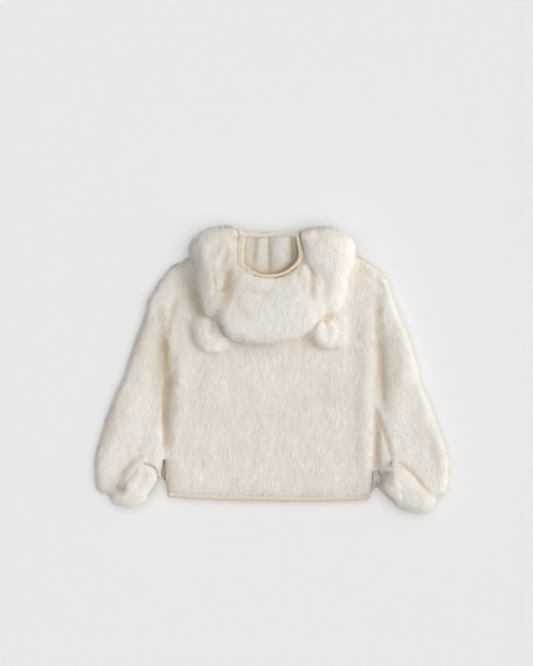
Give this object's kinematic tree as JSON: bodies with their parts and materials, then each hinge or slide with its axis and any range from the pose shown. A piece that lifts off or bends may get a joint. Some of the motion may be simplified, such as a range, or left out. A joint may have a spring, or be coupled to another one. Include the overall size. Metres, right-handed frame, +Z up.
{
  "type": "sherpa hooded jacket",
  "caption": "Toddler's long-pile sherpa jacket laid flat, back up, with its bear-eared hood turned back, bound hood and hem edges and fold-over mitts on the cuffs.",
  "frame": {"origin": "centre of the bounding box, on the flat underside that rests on the floor", "axes": "+X to the right across the jacket seen from above, which is the wearer's right; +Y from hem to hood; +Z up, out of the jacket's back"},
  "size_m": [0.4972, 0.3992, 0.059],
  "materials": {
    "sherpa": "long soft cream plush pile, matte with a faint sheen at its tips",
    "binding": "smooth stretch jersey tape in warm cream, matte",
    "ear_face": "short brushed velour, pale cream, matte",
    "stud": "moulded resin cap, satin"
  },
  "bodies": {
    "root": {"back": "sherpa", "front_left": "sherpa", "front_right": "sherpa", "hem_binding_back": "binding", "hem_binding_front_left": "binding", "hem_binding_front_right": "binding", "sleeve_left": "sherpa", "sleeve_right": "sherpa", "mitt_left": "sherpa", "mitt_right": "sherpa", "mitt_binding_left": "binding", "mitt_binding_right": "binding", "hood_centre": "sherpa", "hood_side_left": "sherpa", "hood_side_right": "sherpa", "hood_lining": "sherpa", "hood_binding": "binding", "ear_left": "sherpa", "ear_right": "sherpa", "ear_face_left": "ear_face", "ear_face_right": "ear_face", "stud_1": "stud", "stud_2": "stud", "stud_3": "stud", "stud_4": "stud", "stud_5": "stud"}
  },
  "joints": []
}
